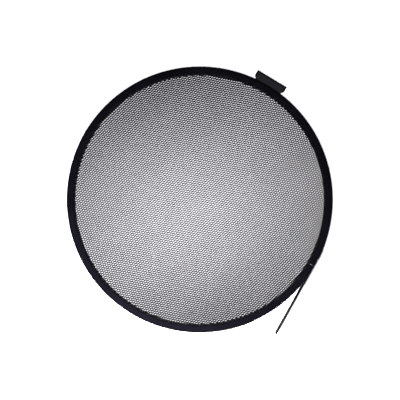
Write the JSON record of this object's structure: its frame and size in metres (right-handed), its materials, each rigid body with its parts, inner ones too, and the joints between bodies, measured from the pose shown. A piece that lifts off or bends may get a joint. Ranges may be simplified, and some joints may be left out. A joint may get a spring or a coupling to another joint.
{
  "type": "honeycomb grid",
  "caption": "Round strap-on honeycomb grid that narrows the light of a softlight reflector, with a channel rim, a hook-and-loop strap tail and a pull tab.",
  "frame": {"origin": "centre of the skirt's mouth, where the reflector's rim goes in", "axes": "+Z is the way the light leaves, through the honeycomb to the subject; +X is right and +Y is up when the front is looked at with the pull tab at the upper right"},
  "size_m": [0.5225, 0.5248, 0.0316],
  "materials": {
    "rim_metal": "satin black anodised",
    "plain_metal": "mill finish",
    "rivet_metal": "satin black",
    "honeycomb_foil": "satin black foil",
    "gasket_foam": "matt foam",
    "liner_rubber": "matt",
    "webbing": "woven",
    "loop_tape": "loop pile",
    "napped_tape": "napped",
    "hook_tape": "moulded hooks",
    "tab_cloth": "woven",
    "binding_tape": "ribbed",
    "label_cloth": "fine weave"
  },
  "bodies": {
    "rim": {"rim_channel": "rim_metal", "splice_plate": "plain_metal", "splice_rivets": "plain_metal", "honeycomb_core": "honeycomb_foil", "seat_gasket": "gasket_foam", "grip_liner": "liner_rubber", "strap_band": "webbing", "closure_pad": "loop_tape", "root_tape": "napped_tape", "strap_rivets": "rivet_metal", "strap_washers": "plain_metal", "tab_leg": "webbing"},
    "tail_1": {"strap_tail_1": "webbing", "tail_tape": "napped_tape"},
    "tail_2": {"strap_tail_2": "webbing", "hook_patch_2": "hook_tape"},
    "tail_3": {"strap_tail_3": "webbing", "hook_patch_3": "hook_tape"},
    "tail_4": {"strap_tail_4": "webbing", "hook_patch_4": "hook_tape"},
    "tab": {"tab_flap": "tab_cloth", "tab_binding": "binding_tape", "tab_label": "label_cloth"}
  },
  "joints": [
    {"name": "tail_peel", "type": "hinge", "parent": "rim", "child": "tail_1", "pos_m": [0.22779, -0.12679, 0.015], "axis": [0, 0, 1], "range_deg": [0, 60]},
    {"name": "tail_curl", "type": "hinge", "parent": "tail_1", "child": "tail_2", "pos_m": [0.20349, -0.16819, 0.015], "axis": [0, 0, 1], "range_deg": [-14.5, 25]},
    {"name": "tail_curl_3", "type": "hinge", "parent": "tail_2", "child": "tail_3", "pos_m": [0.18535, -0.20078, 0.015], "axis": [0, 0, 1], "range_deg": [-8.12, 14]},
    {"name": "tail_curl_4", "type": "hinge", "parent": "tail_3", "child": "tail_4", "pos_m": [0.16721, -0.23338, 0.015], "axis": [0, 0, 1], "range_deg": [-8.12, 14]},
    {"name": "tab_flex", "type": "hinge", "parent": "rim", "child": "tab", "pos_m": [0.1352, 0.22501, 0.0282], "axis": [0.8572, -0.515, 0], "range_deg": [-70, 60], "stiffness_Nm_per_rad": 0.02}
  ],
  "couplings": [
    {"joint": "tail_curl_3", "follows": "tail_curl", "ratio": 0.56},
    {"joint": "tail_curl_4", "follows": "tail_curl", "ratio": 0.56}
  ]
}
